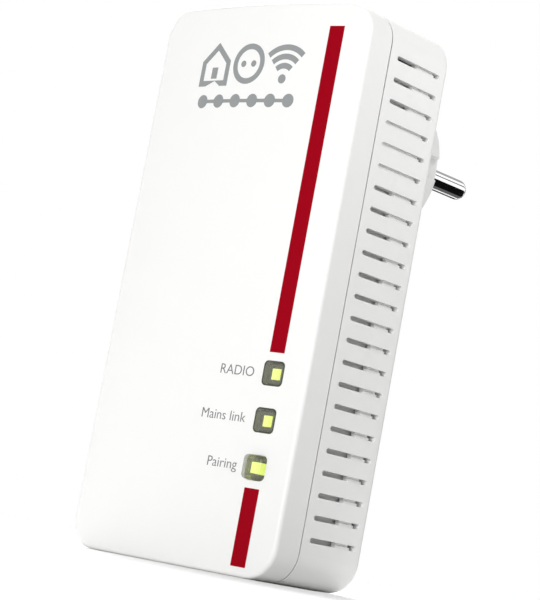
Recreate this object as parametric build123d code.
"""Wall-plug powerline network adapter, modelled piece by piece in millimetres.

X runs across the front, Y from the front cover back to the plug pins, Z up.
The origin is the middle of the flat bottom of the housing.
"""
from build123d import *
from itertools import pairwise
import os

os.makedirs("parts", exist_ok=True)

# Housing
WIDTH = 61.2
HEIGHT = 125.4
DEPTH = 28.5
BULGE = 2.5
CORNER = 7.2
WALL = 2.0
FRONT_EDGE = 1.0
REAR_EDGE = 1.5
FRONT_Y = -DEPTH / 2
REAR_Y = DEPTH / 2
SEAM_Y = FRONT_Y + 7.6
SEAM_GAP = 0.42
LIP = 0.9
LIP_REACH = 1.2
LATCH_X = 14.0
LATCH_WIDTH = 6.0
FACE_RADIUS = (WIDTH / 2) ** 2 / (2 * BULGE) + BULGE / 2
FACE_AXIS_Y = FRONT_Y - BULGE + FACE_RADIUS

# Vent slots in both side walls
SLOT_COUNT = 23
SLOT_PITCH = 4.8
SLOT_LOW_Z = 10.35
SLOT_LENGTH = 15.4
SLOT_WIDTH = 1.1
SLOT_Y = FRONT_Y + 17.9
RIB_RECESS = 0.4
GROOVE_OVER_RIB = 0.9
LOW_RIB_Y = (5.4, 9.7)
HIGH_RIB_Y = (3.5, 9.7)
FULL_RIB_Y = (SLOT_Y - SLOT_LENGTH / 2, 9.7)
HIGH_RIBS_FROM = 15
FULL_RIB_SLOTS = range(17, 20)
AIR_GUIDE_X = (27.1, 28.1)
AIR_GUIDE_Z = (9.0, 79.8, 116.0)
AIR_GUIDE_END_Y = (7.5, 5.6)

# Round two-pin plug with side earth clips
PLUG_Z = 100.3
PLUG_RADIUS = 18.5
PLUG_RISE = 19.9
PLUG_FACE_Y = REAR_Y + PLUG_RISE
PLUG_CHAMFER = 2.5
PIN_RADIUS = 2.4
PIN_LENGTH = 19.0
PIN_SPACING = 19.0
PIN_TIP = 1.9
NECK_RADIUS = 2.0
PIN_SEAT_Y = PLUG_FACE_Y - 0.1
GROOVE_WIDTH = 5.4
GROOVE_DEPTH = 2.2
CLIP_WIDTH = 6.0
CLIP_THICK = 0.8
CLIP_RADIUS = 15.8

# Indicator windows and the raised button, in one column
COLUMN_X = 22.0
WINDOW_Z = {"upper": 43.3, "lower": 33.2}
BUTTON_Z = 23.1
LIGHT_Z = (*WINDOW_Z.values(), BUTTON_Z)
WINDOW_SIZE = (5.3, 5.4)
BUTTON_SIZE = (4.8, 5.2)
WINDOW_CORNER = 1.0
LENS_THICK = 0.7
BUTTON_RISE = 1.5
BUTTON_GAP = 0.12
BUTTON_FLANGE_Y = (-12.7, -11.7)
SWITCH_Z = 15.6
SWITCH_SIZE = 4.6
SWITCH_FRONT_Y = -9.0
PLUNGER_TIP_Y = -9.8
PLUNGER_RADIUS = 1.2
GUIDE_SIZE = 2.35
GUIDE_TIP_Y = -14.5
BUTTON_GUIDE_TIP_Y = -15.6
HOLDER_FACE_Y = -14.35
HOLDER_WIDTH = 6.4

# Circuit boards
BOARD_THICK = 1.6
BOARD_WIDTH = 50.4
LOGIC_FRONT_Y = -6.0
LOGIC_REAR_Y = LOGIC_FRONT_Y + BOARD_THICK
LOGIC_Z = (3.0, 98.0)
POWER_FRONT_Y = 8.6
POWER_REAR_Y = POWER_FRONT_Y + BOARD_THICK
POWER_Z = (44.0, 120.0)
TAIL_RADIUS = 1.2
TAIL_END_Y = POWER_FRONT_Y - 1.2
LOGIC_SCREWS = [(-21.0, 9.0), (20.5, 8.5), (-21.0, 92.0), (21.0, 92.0)]
POWER_SCREWS = [(-21.5, 49.0), (21.5, 49.0), (-22.0, 117.0), (22.0, 117.0)]
SCREW_HOLE_RADIUS = 1.1
SCREW_RADIUS = 0.9
SCREW_HEAD_RADIUS = 2.0
POST_RADIUS = 2.6
HEAT_SINK_Z = (31.0, 48.0)

# Network socket in the bottom
JACK_X = 8.0
JACK_Y = (LOGIC_REAR_Y, LOGIC_REAR_Y + 13.4)
JACK_Z = (0.6, 21.6)
JACK_MOUTH = (11.8, 8.2)
JACK_MOUTH_Y = LOGIC_REAR_Y + 7.2
JACK_DEPTH = 14.0
JACK_SKIN = 0.3

pieces = {}


def keep(name, shape):
    """Store one finished piece under its node name."""
    pieces[name] = shape


def span(middle, size):
    """Limits of a length centred on its middle."""
    return (middle - size / 2, middle + size / 2)


def cuboid(x, y, z):
    """Box between the two limits given for each axis."""
    size = (x[1] - x[0], y[1] - y[0], z[1] - z[0])
    middle = ((x[0] + x[1]) / 2, (y[0] + y[1]) / 2, (z[0] + z[1]) / 2)
    return Pos(*middle) * Box(*size)


def prism_y(sketch, y_from, y_to):
    """Extrude a sketch drawn in X and Z along Y, between two depths."""
    return Pos(0, y_to, 0) * Rot(90, 0, 0) * extrude(sketch, amount=y_to - y_from)


def rod_y(radius, y_from, y_to, x, z):
    """Round bar along Y."""
    return prism_y(Pos(x, z) * Circle(radius), y_from, y_to)


def rod_z(radius, z_from, z_to, x, y):
    """Round bar along Z."""
    return Pos(x, y, (z_from + z_to) / 2) * Cylinder(radius, z_to - z_from)


def outline(inset):
    """Rounded front view of the housing, shrunk by an inset."""
    shape = RectangleRounded(WIDTH - 2 * inset, HEIGHT - 2 * inset, CORNER - inset)
    return Pos(0, HEIGHT / 2) * shape


def face_drum(inset):
    """Big upright drum whose front side is the curved face, moved in by an inset."""
    return Pos(0, FACE_AXIS_Y, HEIGHT / 2) * Cylinder(FACE_RADIUS - inset, HEIGHT + 40)


def window(z, grow=0.0, size=WINDOW_SIZE):
    """Rounded window outline in the indicator column."""
    shape = RectangleRounded(size[0] + 2 * grow, size[1] + 2 * grow, WINDOW_CORNER + grow)
    return Pos(COLUMN_X, z) * shape


def button_outline(grow=0.0):
    """Rounded outline of the button."""
    return window(BUTTON_Z, grow, BUTTON_SIZE)


def ring_seam(inset, thick, y_from, y_to):
    """Thin wall that follows the housing outline."""
    return prism_y(outline(inset) - outline(inset + thick), y_from, y_to)


# ---------------------------------------------------------------- casing

def front_cover():
    """Shallow curved cover with its lip, window holes, board posts and air guides."""
    edge_y = SEAM_Y - SEAM_GAP / 2
    outer = prism_y(outline(0), FRONT_Y - 10, edge_y) & face_drum(0)
    front_loop = [edge for edge in outer.edges() if edge.bounding_box().max.Y < FRONT_Y + 1]
    outer = fillet(front_loop, FRONT_EDGE)
    cover = outer - (prism_y(outline(WALL), FRONT_Y - 10, edge_y) & face_drum(WALL))
    cover += ring_seam(WALL - LIP, LIP, edge_y - 1, SEAM_Y + LIP_REACH)
    for z in WINDOW_Z.values():
        cover -= prism_y(window(z), FRONT_Y - 10, LOGIC_FRONT_Y)
    cover -= prism_y(button_outline(BUTTON_GAP), FRONT_Y - 10, LOGIC_FRONT_Y)
    behind_face = prism_y(outline(WALL - 0.5), FRONT_Y - 10, SEAM_Y) & face_drum(WALL - 0.5)
    for x, z in LOGIC_SCREWS:
        post = rod_y(POST_RADIUS, FRONT_Y - 10, LOGIC_FRONT_Y, x, z) & behind_face
        cover += post - rod_y(SCREW_RADIUS, LOGIC_FRONT_Y - 5, LOGIC_FRONT_Y, x, z)
    for side in (-1, 1):
        guide_x = sorted((side * AIR_GUIDE_X[0], side * AIR_GUIDE_X[1]))
        for guide_z, end_y in zip(pairwise(AIR_GUIDE_Z), AIR_GUIDE_END_Y):
            cover += cuboid(guide_x, (FRONT_Y + 1.1, end_y), guide_z)
        latch_x = span(side * LATCH_X, LATCH_WIDTH)
        arm = cuboid(latch_x, (FRONT_Y - 0.9, -1.0), (HEIGHT - WALL - 1.6, HEIGHT - WALL - 0.2))
        cover += arm + cuboid(latch_x, (-2.4, -1.0), (HEIGHT - WALL - 0.4, HEIGHT - WALL + 0.5))
    return cover


def rib_span(index):
    """Where the rib of one vent slot starts and ends."""
    if index in FULL_RIB_SLOTS:
        return FULL_RIB_Y
    return HIGH_RIB_Y if index >= HIGH_RIBS_FROM else LOW_RIB_Y


def vent_slots():
    """Outlines of all the vent slots, of the grooves over their ribs and of their open parts."""
    slots, grooves, openings = Sketch(), Sketch(), Sketch()
    for index in range(SLOT_COUNT):
        z = SLOT_LOW_Z + index * SLOT_PITCH
        y_from, y_to = rib_span(index)
        slot = Pos(SLOT_Y, z) * SlotOverall(SLOT_LENGTH, SLOT_WIDTH)
        rib = Pos((y_from + y_to) / 2, z) * Rectangle(y_to - y_from, SLOT_WIDTH)
        slots += slot
        grooves += slot & rib & Pos(0, SLOT_WIDTH / 2) * rib
        openings += slot - rib
    return slots, grooves, openings


def rear_housing():
    """Deep rear shell with vent slots, plug hole, socket hole and board posts."""
    edge_y = SEAM_Y + SEAM_GAP / 2
    shell = prism_y(outline(0), edge_y, REAR_Y)
    rear_loop = [edge for edge in shell.edges() if edge.bounding_box().min.Y > REAR_Y - 0.1]
    shell = fillet(rear_loop, REAR_EDGE)
    shell -= prism_y(outline(WALL), edge_y, REAR_Y - WALL)
    shell -= prism_y(outline(WALL - LIP - 0.05), edge_y, SEAM_Y + LIP_REACH + 0.1)
    slots, grooves, openings = vent_slots()
    shell -= extrude(Plane.YZ * openings, amount=WIDTH, both=True)
    for side in (-1, 1):
        for shape, depth in ((slots, RIB_RECESS), (grooves, GROOVE_OVER_RIB)):
            bottom = Plane.YZ.offset(side * (WIDTH / 2 - depth))
            shell -= extrude(bottom * shape, amount=side * 5)
        latch_x = span(side * LATCH_X, LATCH_WIDTH + 0.6)
        shell -= cuboid(latch_x, (-2.6, -0.7), (HEIGHT - WALL - 0.1, HEIGHT - WALL + 0.7))
    for x, z in POWER_SCREWS:
        shell += rod_y(POST_RADIUS, POWER_REAR_Y, REAR_Y - WALL + 0.2, x, z)
        shell -= rod_y(SCREW_RADIUS, POWER_REAR_Y, REAR_Y - 1.0, x, z)
    shell -= rod_y(PLUG_RADIUS, REAR_Y - WALL - 1, REAR_Y + 1, 0, PLUG_Z)
    shell -= cuboid(span(0, 2 * JACK_X + 0.4), (JACK_Y[0] - 0.2, JACK_Y[1] + 0.2), (-1, WALL + 1))
    return shell


def rating_label():
    """Blank rating label on the rear wall under the plug."""
    label = Pos(0, 48) * RectangleRounded(40, 46, 1.5)
    return prism_y(label, REAR_Y, REAR_Y + 0.12)


# ---------------------------------------------------------------- mains plug

def clip_tail_z(side):
    """Height limits of an earth clip's straight tail."""
    return sorted((PLUG_Z + side * CLIP_RADIUS, PLUG_Z + side * (CLIP_RADIUS + CLIP_THICK)))


def plug_body():
    """Hollow round plug block with guide grooves, earth clip recesses and a flange inside the wall."""
    boss = rod_y(PLUG_RADIUS, REAR_Y - WALL, PLUG_FACE_Y, 0, PLUG_Z)
    rim = [edge for edge in boss.edges() if edge.bounding_box().min.Y > PLUG_FACE_Y - 0.1]
    boss = chamfer(rim, PLUG_CHAMFER)
    boss += rod_y(PLUG_RADIUS + 2.0, REAR_Y - WALL - 1.8, REAR_Y - WALL, 0, PLUG_Z)
    for side in (-1, 1):
        groove_x = sorted((side * (PLUG_RADIUS - GROOVE_DEPTH), side * (PLUG_RADIUS + 1)))
        boss -= cuboid(groove_x, (REAR_Y, PLUG_FACE_Y + 1), span(PLUG_Z, GROOVE_WIDTH))
        recess_z = sorted((PLUG_Z + side * (CLIP_RADIUS - 0.1), PLUG_Z + side * (PLUG_RADIUS + 1)))
        boss -= cuboid(span(0, CLIP_WIDTH + 2), (REAR_Y + 1, PLUG_FACE_Y + 1), recess_z)
        boss -= cuboid(span(0, CLIP_WIDTH), (REAR_Y - 5, REAR_Y + 2), clip_tail_z(side))
    hollow = rod_y(CLIP_RADIUS - 2.0, REAR_Y - 5, PLUG_FACE_Y - 4.0, 0, PLUG_Z)
    for side in (-1, 1):
        hollow -= rod_y(NECK_RADIUS + 2.4, REAR_Y - 5, PLUG_FACE_Y, side * PIN_SPACING / 2, PLUG_Z)
    boss -= hollow
    for side in (-1, 1):
        boss -= rod_y(NECK_RADIUS, REAR_Y - 5, PLUG_FACE_Y, side * PIN_SPACING / 2, PLUG_Z)
        boss -= rod_y(PIN_RADIUS, PIN_SEAT_Y, PLUG_FACE_Y + 1, side * PIN_SPACING / 2, PLUG_Z)
    return boss


def mains_pin(side):
    """Round-nosed pin seated just under the plug face, with a neck in the block and a solder tail."""
    x = side * PIN_SPACING / 2
    tip_y = PLUG_FACE_Y + PIN_LENGTH
    root_y = REAR_Y - WALL - 1.8
    pin = rod_y(PIN_RADIUS, PIN_SEAT_Y, tip_y, x, PLUG_Z)
    nose = [edge for edge in pin.edges() if edge.bounding_box().min.Y > tip_y - 0.1]
    pin = fillet(nose, PIN_TIP)
    pin += rod_y(NECK_RADIUS, root_y, PIN_SEAT_Y, x, PLUG_Z)
    return pin + rod_y(TAIL_RADIUS, TAIL_END_Y, root_y, x, PLUG_Z)


def earth_clip(side):
    """Bowed earth strip lying in the plug's recess, with a straight tail to the power board."""
    near = (REAR_Y + 2.5, CLIP_RADIUS)
    crown = ((REAR_Y + PLUG_FACE_Y) / 2 + 1, CLIP_RADIUS + 1.4)
    far = (PLUG_FACE_Y - 0.8, CLIP_RADIUS)
    inner = [Line((TAIL_END_Y, CLIP_RADIUS), near), ThreePointArc(near, crown, far)]
    lifted = [(y, z + CLIP_THICK) for y, z in (near, crown, far)]
    outer = [
        Line(far, lifted[2]),
        ThreePointArc(lifted[2], lifted[1], lifted[0]),
        Line(lifted[0], (TAIL_END_Y, CLIP_RADIUS + CLIP_THICK)),
        Line((TAIL_END_Y, CLIP_RADIUS + CLIP_THICK), (TAIL_END_Y, CLIP_RADIUS)),
    ]
    section = make_face(Curve() + inner + outer)
    strip = extrude(Plane.YZ * section, amount=CLIP_WIDTH / 2, both=True)
    if side < 0:
        strip = mirror(strip, about=Plane.XY)
    return Pos(0, 0, PLUG_Z) * strip


# ---------------------------------------------------------------- indicators and button

def indicator_lens(z):
    """Flush smoked lens, thin over the light and flanged behind the cover."""
    body = prism_y(window(z), FRONT_Y - 10, FRONT_Y + 3) & (face_drum(0) - face_drum(WALL))
    flange = prism_y(window(z, 0.7), FRONT_Y - 10, FRONT_Y + 3) & (face_drum(WALL) - face_drum(WALL + 0.6))
    pocket = prism_y(window(z, -0.6), FRONT_Y - 10, FRONT_Y + 3) & face_drum(LENS_THICK)
    return body + flange - pocket


def connect_button():
    """Raised hollow cap with a flange behind the cover and a stem over the switch."""
    cap = prism_y(button_outline(), FRONT_Y - 10, BUTTON_FLANGE_Y[0] + 0.5) & face_drum(-BUTTON_RISE)
    front_loop = [edge for edge in cap.edges() if edge.bounding_box().max.Y < FRONT_Y - 2]
    cap = fillet(front_loop, 0.35)
    flange = cuboid(span(COLUMN_X, 6.6), BUTTON_FLANGE_Y, (SWITCH_Z - 2, BUTTON_Z + 3.5))
    stem = rod_y(1.3, BUTTON_FLANGE_Y[0] + 0.5, PLUNGER_TIP_Y - 0.05, COLUMN_X, SWITCH_Z)
    pocket = prism_y(button_outline(-0.8), FRONT_Y - 10, -11) & face_drum(LENS_THICK - BUTTON_RISE)
    return cap + flange + stem - pocket


def guide_section(z):
    """Square section of a light guide."""
    return Pos(COLUMN_X, z) * Rectangle(GUIDE_SIZE, GUIDE_SIZE)


def light_guide_holder():
    """Opaque holder that carries the three clear light guides over the board."""
    bottom_z, step_z, top_z = BUTTON_Z - 3.7, WINDOW_Z["lower"] - 3.6, WINDOW_Z["upper"] + 3.6
    block = cuboid(span(COLUMN_X, HOLDER_WIDTH), (-12.0, LOGIC_FRONT_Y), (step_z, top_z))
    block += cuboid(span(COLUMN_X, HOLDER_WIDTH), (-10.0, LOGIC_FRONT_Y), (bottom_z, step_z))
    for z in WINDOW_Z.values():
        block += prism_y(window(z, -0.7), HOLDER_FACE_Y, -11)
    for z in LIGHT_Z:
        block -= prism_y(guide_section(z), FRONT_Y - 10, LOGIC_FRONT_Y)
    return block


def light_guide(z, tip_y):
    """Clear square bar from just above a light-emitting diode to its window."""
    return prism_y(guide_section(z), tip_y, LOGIC_FRONT_Y - 1.0)


def status_leds():
    """Three surface-mount diodes under the light guides."""
    depth = (LOGIC_FRONT_Y - 0.8, LOGIC_FRONT_Y)
    lights = [cuboid(span(COLUMN_X, 1.6), depth, span(z, 1.6)) for z in LIGHT_Z]
    return Compound(children=lights)


def connect_switch():
    """Square push switch body with a round bore for its plunger."""
    depth = (SWITCH_FRONT_Y, LOGIC_FRONT_Y)
    body = cuboid(span(COLUMN_X, SWITCH_SIZE), depth, span(SWITCH_Z, SWITCH_SIZE))
    return body - rod_y(PLUNGER_RADIUS + 0.05, SWITCH_FRONT_Y - 1, LOGIC_FRONT_Y - 0.5, COLUMN_X, SWITCH_Z)


def switch_plunger():
    """Round plunger of the push switch, with room for its travel behind it."""
    return rod_y(PLUNGER_RADIUS, PLUNGER_TIP_Y, LOGIC_FRONT_Y - 1.2, COLUMN_X, SWITCH_Z)


# ---------------------------------------------------------------- boards and fasteners

def logic_board():
    """Front circuit board with screw holes."""
    board = cuboid(span(0, BOARD_WIDTH), (LOGIC_FRONT_Y, LOGIC_REAR_Y), LOGIC_Z)
    uprights = board.edges().filter_by(Axis.Y)
    board = fillet(uprights, 3.0)
    for x, z in LOGIC_SCREWS:
        board -= rod_y(SCREW_HOLE_RADIUS, LOGIC_FRONT_Y - 1, LOGIC_REAR_Y + 1, x, z)
    return board


def power_board():
    """Rear circuit board with holes for screws, pin tails and earth tails."""
    board = cuboid(span(0, BOARD_WIDTH), (POWER_FRONT_Y, POWER_REAR_Y), POWER_Z)
    uprights = board.edges().filter_by(Axis.Y)
    board = fillet(uprights, 3.0)
    for x, z in POWER_SCREWS:
        board -= rod_y(SCREW_HOLE_RADIUS, POWER_FRONT_Y - 1, POWER_REAR_Y + 1, x, z)
    for side in (-1, 1):
        pin_x = side * PIN_SPACING / 2
        board -= rod_y(TAIL_RADIUS, POWER_FRONT_Y - 1, POWER_REAR_Y + 1, pin_x, PLUG_Z)
        board -= cuboid(span(0, CLIP_WIDTH), (POWER_FRONT_Y - 1, POWER_REAR_Y + 1), clip_tail_z(side))
    return board


def pan_screw(x, z, head_y, direction, length):
    """Pan-head screw along Y; direction is the way its point looks."""
    head = rod_y(SCREW_HEAD_RADIUS, *sorted((head_y, head_y - direction * 1.1)), x, z)
    shank = rod_y(SCREW_RADIUS, *sorted((head_y, head_y + direction * length)), x, z)
    slot_y = sorted((head_y - direction * 0.6, head_y - direction * 2))
    slot = cuboid(span(x, 2.4), slot_y, span(z, 0.5))
    return head + shank - slot


def board_screws():
    """Screws of both boards, one group for each board."""
    logic = [pan_screw(x, z, LOGIC_REAR_Y, -1, 6.0) for x, z in LOGIC_SCREWS]
    power = [pan_screw(x, z, POWER_FRONT_Y, 1, 4.4) for x, z in POWER_SCREWS]
    keep("logic_board_screws", Compound(children=logic))
    keep("power_board_screws", Compound(children=power))


def on_logic_rear(x, z, width, height, tall):
    """Box-shaped part on the rear side of the logic board."""
    return cuboid(span(x, width), (LOGIC_REAR_Y, LOGIC_REAR_Y + tall), span(z, height))


def on_logic_front(x, z, width, height, tall):
    """Box-shaped part on the front side of the logic board."""
    return cuboid(span(x, width), (LOGIC_FRONT_Y - tall, LOGIC_FRONT_Y), span(z, height))


def on_power(x, z, width, height, tall):
    """Box-shaped part on the front side of the power board."""
    return cuboid(span(x, width), (POWER_FRONT_Y - tall, POWER_FRONT_Y), span(z, height))


def disc_on_power(x, z, width, thick, tall):
    """Round-ended part standing on the front side of the power board."""
    section = Pos(x, z) * SlotOverall(width, thick, rotation=90)
    return prism_y(section, POWER_FRONT_Y - tall, POWER_FRONT_Y)


# ---------------------------------------------------------------- network socket

def jack_cavity():
    """Space that a network plug fills, with its latch notch."""
    depth_z = (-1, JACK_Z[0] + JACK_DEPTH)
    mouth = cuboid(span(0, JACK_MOUTH[0]), span(JACK_MOUTH_Y, JACK_MOUTH[1]), depth_z)
    notch_y = JACK_MOUTH_Y + JACK_MOUTH[1] / 2
    return mouth + cuboid(span(0, 6.2), (notch_y - 0.1, notch_y + 1.2), depth_z)


def jack_block(inset):
    """Outside of the network socket, shrunk by an inset."""
    depth_y = (JACK_Y[0] + inset, JACK_Y[1] - inset)
    height_z = (JACK_Z[0] + inset, JACK_Z[1] - inset)
    return cuboid(span(0, 2 * (JACK_X - inset)), depth_y, height_z)


def ethernet_jack_shell():
    """Folded metal shield round the network socket."""
    return jack_block(0) - jack_block(JACK_SKIN) - jack_cavity()


def ethernet_jack_insert():
    """Plastic core of the network socket, with slots for eight contacts."""
    return jack_block(JACK_SKIN) - jack_cavity() - ethernet_contacts()


def ethernet_contacts():
    """Eight contact wires along the front of the socket's space, each with a tail to the board."""
    wires = []
    wire = 0.4
    front_y = JACK_MOUTH_Y - JACK_MOUTH[1] / 2
    top_z = JACK_Z[0] + JACK_DEPTH + 3
    for index in range(8):
        wire_x = span((index - 3.5) * 1.02, wire)
        run = cuboid(wire_x, (front_y - wire, front_y), (JACK_Z[0] + 4, top_z))
        tail = cuboid(wire_x, (JACK_Y[0] + JACK_SKIN, front_y), (top_z - wire, top_z))
        wires.append(run + tail)
    return Compound(children=wires)


# ---------------------------------------------------------------- electronics

def heat_sink():
    """Finned aluminium block on the modem chip."""
    base_y = LOGIC_REAR_Y + 1.9
    sink = cuboid((-13, 13), (base_y, base_y + 1.5), HEAT_SINK_Z)
    for index in range(7):
        sink += cuboid(span(-12 + index * 4, 1.2), (base_y + 1, base_y + 5.4), HEAT_SINK_Z)
    return sink


def antenna(side):
    """Stamped bent antenna standing on the front side of the logic board."""
    x = side * 22.5
    sheet_x = span(x, 0.4)
    blade = cuboid(sheet_x, (LOGIC_FRONT_Y - 4.5, LOGIC_FRONT_Y - 1.5), (60, 84))
    legs = cuboid(sheet_x, (LOGIC_FRONT_Y - 2, LOGIC_FRONT_Y), (60, 61.5))
    legs += cuboid(sheet_x, (LOGIC_FRONT_Y - 2, LOGIC_FRONT_Y), (65, 66.5))
    foot = cuboid(sorted((x - side * 3, x + side * 0.2)), (LOGIC_FRONT_Y - 0.4, LOGIC_FRONT_Y), (60, 66.5))
    return blade + legs + foot


def transformer():
    """Ferrite frame and its wound bobbin."""
    x, z, tall, yoke = -11.0, 58.0, 11.0, 2.4
    front_y = POWER_FRONT_Y - tall
    frame = on_power(x, z, 16, 15, tall)
    frame -= cuboid(span(x, 11.2), (front_y + yoke, POWER_FRONT_Y - yoke), span(z, 16))
    leg = on_power(x, z, 4, 8, tall)
    keep("transformer_core", frame + leg)
    winding = cuboid(span(x, 11), (front_y + yoke + 0.1, POWER_FRONT_Y - yoke - 0.1), span(z, 18))
    keep("transformer_winding", fillet(winding.edges().filter_by(Axis.Y), 2.0) - leg)


def choke():
    """Ring choke lying on the board: ferrite ring and two windings."""
    x, z, low = 16.0, 104.5, POWER_FRONT_Y - 6.6
    ring = rod_y(6.4, low, POWER_FRONT_Y - 0.6, x, z) - rod_y(3.2, low - 1, POWER_FRONT_Y, x, z)
    windings = []
    for side in (-1, 1):
        band = rod_y(7.0, low - 0.6, POWER_FRONT_Y, x, z) - rod_y(2.6, low - 1, POWER_FRONT_Y, x, z)
        wedge_z = sorted((z + side * 1.5, z + side * 8))
        wedge = cuboid(span(x, 8), (low - 1, POWER_FRONT_Y + 1), wedge_z)
        windings.append((band & wedge) - ring)
    keep("choke_core", ring)
    keep("choke_windings", Compound(children=windings))


def bulk_capacitors():
    """Two electrolytic cans lying side by side."""
    cans = []
    for x in (8.5, 18.0):
        can = rod_z(4.2, 52.0, 68.0, x, POWER_FRONT_Y - 4.3)
        cans.append(fillet(can.edges(), 0.5))
    return Compound(children=cans)


def board_connector():
    """Pin header that joins the two boards."""
    x, z = -6.0, 79.7
    header = on_logic_rear(x, z, 14, 5, 8.5)
    for index in range(5):
        header += rod_y(0.35, LOGIC_REAR_Y + 8, POWER_FRONT_Y, x + 2.5 * (index - 2), z)
    return header


def electronics():
    """All remaining parts on the two boards."""
    chip_z = sum(HEAT_SINK_Z) / 2
    keep("modem_chip", on_logic_rear(0, chip_z, 14, 14, 1.2))
    keep("thermal_pad", cuboid(span(0, 14), (LOGIC_REAR_Y + 1.2, LOGIC_REAR_Y + 1.9), span(chip_z, 14)))
    keep("heat_sink", heat_sink())
    keep("memory_chip", on_logic_rear(18, 40, 8, 13, 1.2))
    keep("flash_chip", on_logic_rear(-19, 38, 5.5, 6.5, 1.8))
    keep("clock_crystal", on_logic_rear(-19, 50, 3.2, 5.0, 1.0))
    keep("ethernet_magnetics", on_logic_rear(0, 26, 16, 7, 5.5))
    keep("wireless_chip", on_logic_front(0, 72, 9, 9, 1.0))
    can = on_logic_front(0, 72, 18, 20, 2.6) - on_logic_front(0, 72, 17.4, 19.4, 2.3)
    keep("wireless_shield", can)
    keep("antenna_left", antenna(-1))
    keep("antenna_right", antenna(1))
    transformer()
    choke()
    keep("bulk_capacitors", bulk_capacitors())
    keep("x_capacitor", on_power(12.5, 77, 14, 7, 11))
    keep("mains_fuse", rod_y(4.2, POWER_FRONT_Y - 7.5, POWER_FRONT_Y, -17, 110))
    keep("varistor", disc_on_power(-17, 97, 9, 5, 9))
    keep("bridge_rectifier", on_power(-17, 86, 5, 6.5, 2.6))
    keep("switching_regulator", on_power(-18.5, 73, 9.5, 6.5, 3.5))
    keep("optocoupler", on_power(-2, 73, 4.6, 6.5, 3.5))
    keep("y_capacitor", disc_on_power(-10, 73, 7, 4, 8))
    keep("output_capacitor", rod_y(3.2, POWER_FRONT_Y - 9, POWER_FRONT_Y, 0.7, 53))
    keep("coupling_transformer", on_power(12, 91.5, 9, 8, 8))
    keep("coupling_capacitor", on_power(0, 93, 10, 4, 9))
    keep("board_connector", board_connector())


def build():
    """Make every piece of the adapter."""
    keep("front_cover", front_cover())
    keep("rear_housing", rear_housing())
    keep("rating_label", rating_label())
    keep("plug_body", plug_body())
    keep("mains_pin_left", mains_pin(-1))
    keep("mains_pin_right", mains_pin(1))
    keep("earth_clip_upper", earth_clip(1))
    keep("earth_clip_lower", earth_clip(-1))
    for name, z in WINDOW_Z.items():
        keep(f"indicator_lens_{name}", indicator_lens(z))
        keep(f"light_guide_{name}", light_guide(z, GUIDE_TIP_Y))
    keep("light_guide_button", light_guide(BUTTON_Z, BUTTON_GUIDE_TIP_Y))
    keep("light_guide_holder", light_guide_holder())
    keep("status_leds", status_leds())
    keep("connect_button", connect_button())
    keep("connect_switch", connect_switch())
    keep("switch_plunger", switch_plunger())
    keep("logic_board", logic_board())
    keep("power_board", power_board())
    board_screws()
    keep("ethernet_jack_shell", ethernet_jack_shell())
    keep("ethernet_jack_insert", ethernet_jack_insert())
    keep("ethernet_contacts", ethernet_contacts())
    electronics()


build()
for node, shape in pieces.items():
    export_step(shape, f"parts/{node}.step")
